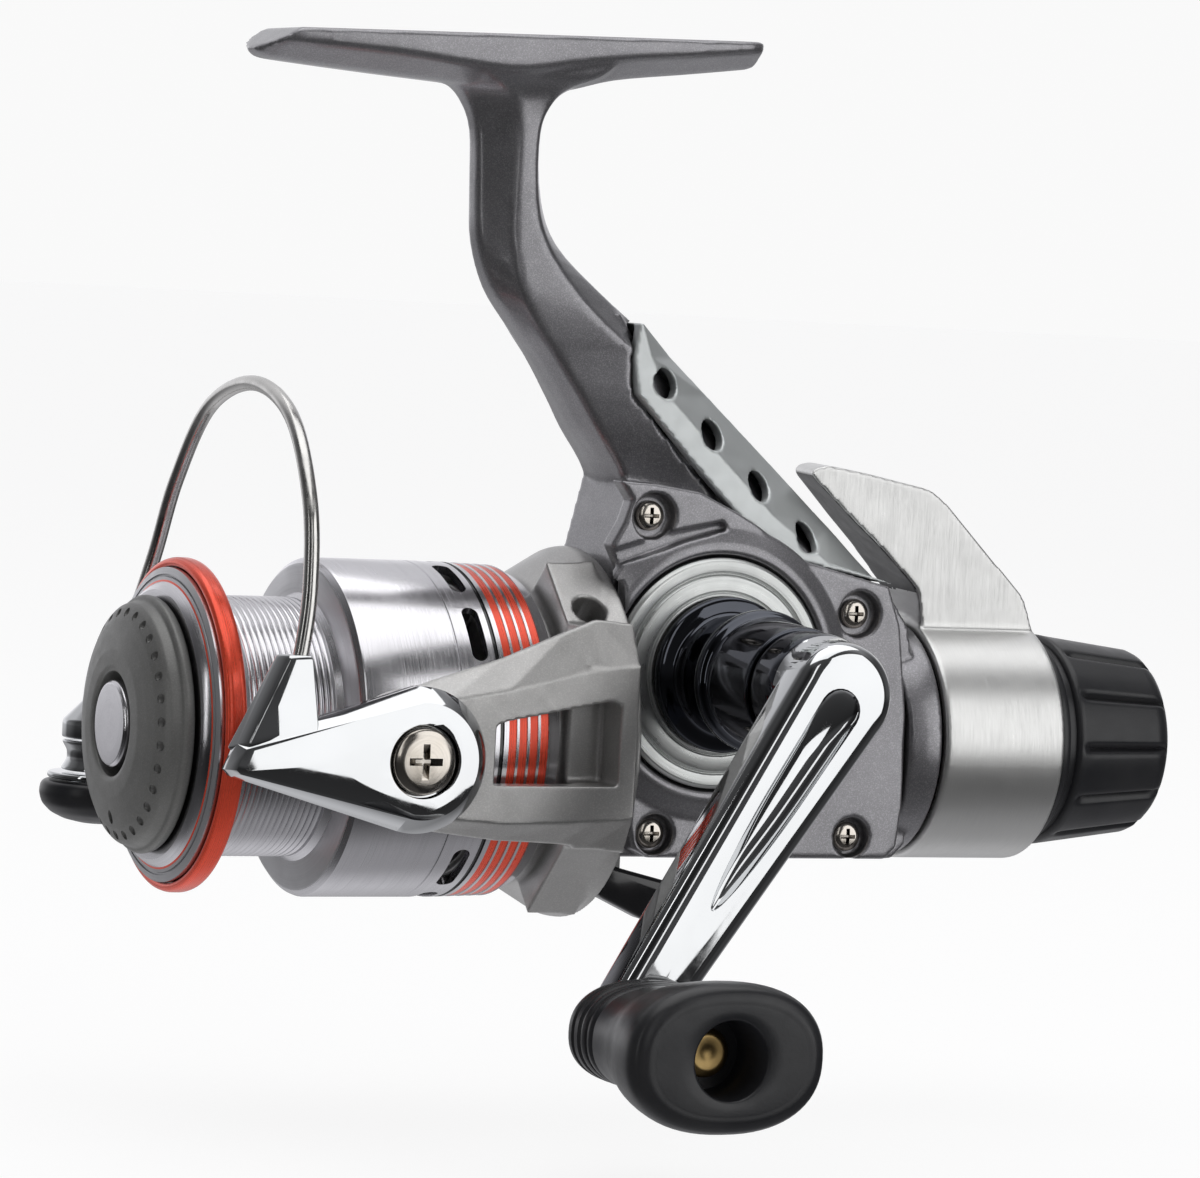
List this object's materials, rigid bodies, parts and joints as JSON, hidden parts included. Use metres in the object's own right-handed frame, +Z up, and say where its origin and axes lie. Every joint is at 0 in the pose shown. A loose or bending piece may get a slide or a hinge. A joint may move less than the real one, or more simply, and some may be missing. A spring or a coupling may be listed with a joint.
{
  "type": "spinning reel",
  "caption": "Front-spool spinning reel with rear drag knob, fighting-drag lever, wire bail, line roller and a left-hand crank with an oval knob.",
  "frame": {"origin": "centre of the foot's top face, where it meets the rod's reel seat", "axes": "+X along the spool axis from the spool's front to the rear drag knob, -Y out along the crank, +Z up to the rod"},
  "size_m": [0.1507, 0.1174, 0.1337],
  "materials": {
    "body_paint": "dark grey metallic paint, semi-gloss",
    "rotor_paint": "silver-grey sparkle paint, satin",
    "chrome": "polished chrome",
    "dark_chrome": "polished black chrome",
    "satin_silver": "satin silver paint",
    "spool_silver": "polished silver anodising",
    "trim_silver": "satin grey-silver paint",
    "red_anodised": "glossy red anodising",
    "cap_grey": "matte dark grey",
    "black_plastic": "soft-touch black",
    "gloss_black": "gloss black",
    "steel": "bright steel",
    "brass": "machined brass",
    "felt": "felt drag washer"
  },
  "bodies": {
    "housing": {"body_housing": "body_paint", "side_cover": "body_paint", "side_cover_screw_1": "steel", "side_cover_screw_2": "steel", "side_cover_screw_3": "steel", "side_cover_screw_4": "steel", "stem_trim": "trim_silver", "round_cover": "spool_silver", "bearing_left": "steel", "bearing_right": "steel", "bearing_cap_right": "spool_silver", "pinion_bearing": "steel", "oscillation_guide_rod": "steel", "drag_housing": "black_plastic", "drag_washer_steel": "steel", "drag_spring": "steel"},
    "crank": {"drive_shaft": "steel", "drive_gear": "brass", "oscillation_drive_gear": "brass", "handle_tube": "dark_chrome", "handle_arm": "chrome", "knob_pin": "brass", "handle_lock_cap": "chrome"},
    "knob": {"handle_knob": "black_plastic"},
    "rotor_body": {"rotor": "rotor_paint", "rotor_nut": "steel", "pinion_gear": "brass", "ratchet_wheel": "steel", "pivot_screw_left": "steel", "pivot_screw_right": "steel", "bail_spring": "steel"},
    "bail": {"bail_arm_left": "chrome", "bail_arm_right": "chrome", "bail_wire": "chrome", "roller_cone": "chrome", "roller_flange": "chrome", "roller_cap": "black_plastic"},
    "roller": {"line_roller": "chrome"},
    "oscillator": {"oscillation_gear": "black_plastic"},
    "slider": {"oscillation_slider": "steel"},
    "spool_shaft": {"main_shaft": "steel", "spool": "spool_silver", "spool_lip": "red_anodised", "spool_cap": "cap_grey", "spool_washer": "felt"},
    "release_button": {"spool_button": "spool_silver"},
    "drag_rotor": {"drag_sleeve": "steel", "drag_washer_front": "felt", "drag_washer_rear": "felt"},
    "drag_adjuster": {"drag_knob": "black_plastic", "drag_nut": "brass"},
    "fighting_lever": {"drag_lever": "satin_silver"},
    "anti_reverse": {"anti_reverse_lever": "gloss_black", "anti_reverse_pawl": "steel"}
  },
  "joints": [
    {"name": "handle_crank", "type": "hinge", "parent": "housing", "child": "crank", "pos_m": [0.0288, 0, -0.0817], "axis": [0, -1, 0], "continuous": true},
    {"name": "knob_spin", "type": "hinge", "parent": "crank", "child": "knob", "pos_m": [0.0018, -0.066, -0.1232], "axis": [0, -1, 0], "continuous": true},
    {"name": "rotor_spin", "type": "hinge", "parent": "housing", "child": "rotor_body", "pos_m": [0.0196, 0, -0.091], "axis": [-1, 0, 0], "continuous": true},
    {"name": "bail_open", "type": "hinge", "parent": "rotor_body", "child": "bail", "pos_m": [-0.0187, 0, -0.0925], "axis": [0, -1, 0], "range_deg": [0, 105]},
    {"name": "roller_spin", "type": "hinge", "parent": "bail", "child": "roller", "pos_m": [-0.0394, 0.03, -0.0979], "axis": [0, 0, 1], "continuous": true},
    {"name": "oscillation_spin", "type": "hinge", "parent": "housing", "child": "oscillator", "pos_m": [0.0388, 0, -0.0922], "axis": [0, -1, 0], "continuous": true},
    {"name": "spool_stroke", "type": "slide", "parent": "housing", "child": "slider", "axis": [-1, 0, 0], "range_m": [0, 0.011]},
    {"name": "spool_spin", "type": "hinge", "parent": "slider", "child": "spool_shaft", "pos_m": [0.0196, 0, -0.091], "axis": [-1, 0, 0], "continuous": true},
    {"name": "button_press", "type": "slide", "parent": "spool_shaft", "child": "release_button", "axis": [1, 0, 0], "range_m": [0, 0.0012], "stiffness_N_per_m": 300},
    {"name": "drag_spin", "type": "hinge", "parent": "housing", "child": "drag_rotor", "pos_m": [0.0196, 0, -0.091], "axis": [-1, 0, 0], "continuous": true},
    {"name": "drag_knob_turn", "type": "hinge", "parent": "housing", "child": "drag_adjuster", "pos_m": [0.0196, 0, -0.091], "axis": [1, 0, 0], "range_deg": [-540, 540]},
    {"name": "drag_lever_swing", "type": "hinge", "parent": "housing", "child": "fighting_lever", "pos_m": [0.0196, 0, -0.091], "axis": [1, 0, 0], "range_deg": [-12, 12]},
    {"name": "anti_reverse_switch", "type": "hinge", "parent": "housing", "child": "anti_reverse", "pos_m": [0.0196, 0, -0.1042], "axis": [1, 0, 0], "range_deg": [0, 25]}
  ],
  "couplings": [
    {"joint": "rotor_spin", "follows": "handle_crank", "ratio": 5.25},
    {"joint": "oscillation_spin", "follows": "handle_crank", "ratio": -0.5},
    {"joint": "drag_spin", "follows": "spool_spin", "ratio": 1}
  ]
}
